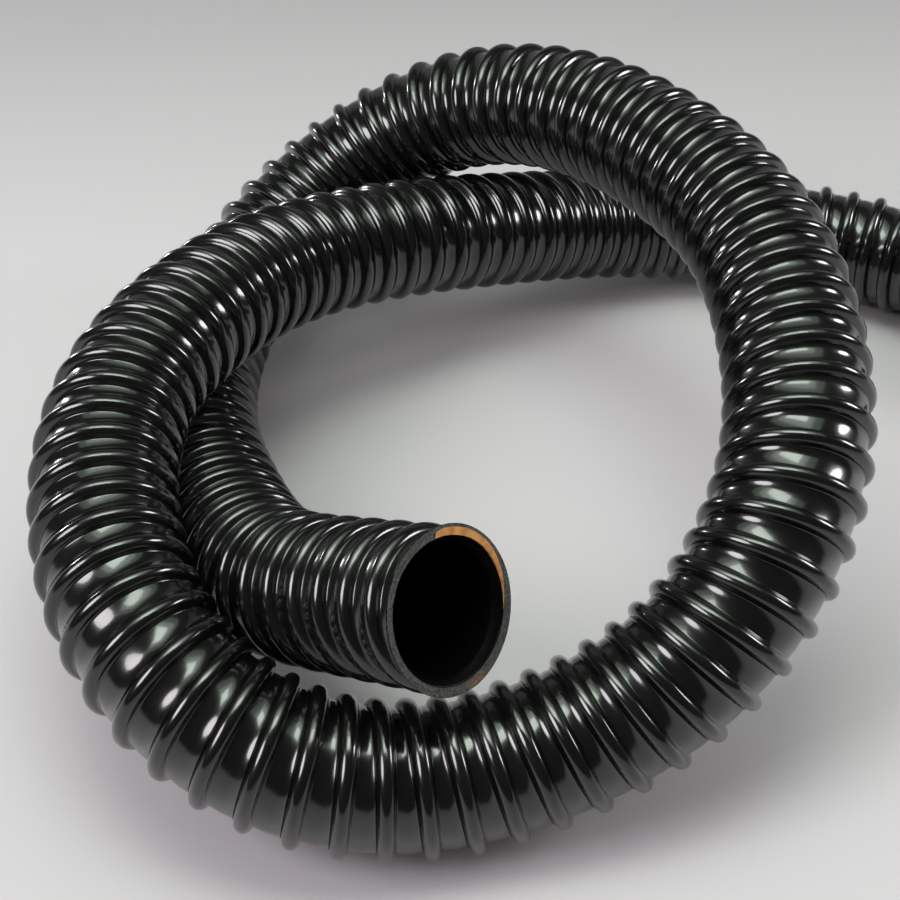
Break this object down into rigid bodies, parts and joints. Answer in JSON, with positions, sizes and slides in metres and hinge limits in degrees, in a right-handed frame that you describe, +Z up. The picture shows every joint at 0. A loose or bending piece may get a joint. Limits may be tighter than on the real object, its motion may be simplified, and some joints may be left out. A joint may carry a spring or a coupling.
{
  "type": "vacuum hose",
  "caption": "Smooth-bore spiral-ribbed suction hose for pool and spa vacuuming, lying in a loose double loop, with plain cut ends.",
  "frame": {"origin": "middle of the lying hose's box, on the floor that it lies on", "axes": "+Z up from the floor; +X towards the far end of the hose; the cut end's mouth looks towards +X and -Y"},
  "size_m": [0.4132, 0.3478, 0.1272],
  "materials": {
    "cover": "glossy black soft PVC",
    "liner": "smooth black soft PVC",
    "core": "orange-tan rigid PVC"
  },
  "bodies": {
    "root": {"cut_end_cover": "cover", "cut_end_liner": "liner", "cut_end_core": "core", "run_cover": "cover", "run_liner": "liner", "far_end_cover": "cover", "far_end_liner": "liner", "far_end_core": "core"}
  },
  "joints": []
}
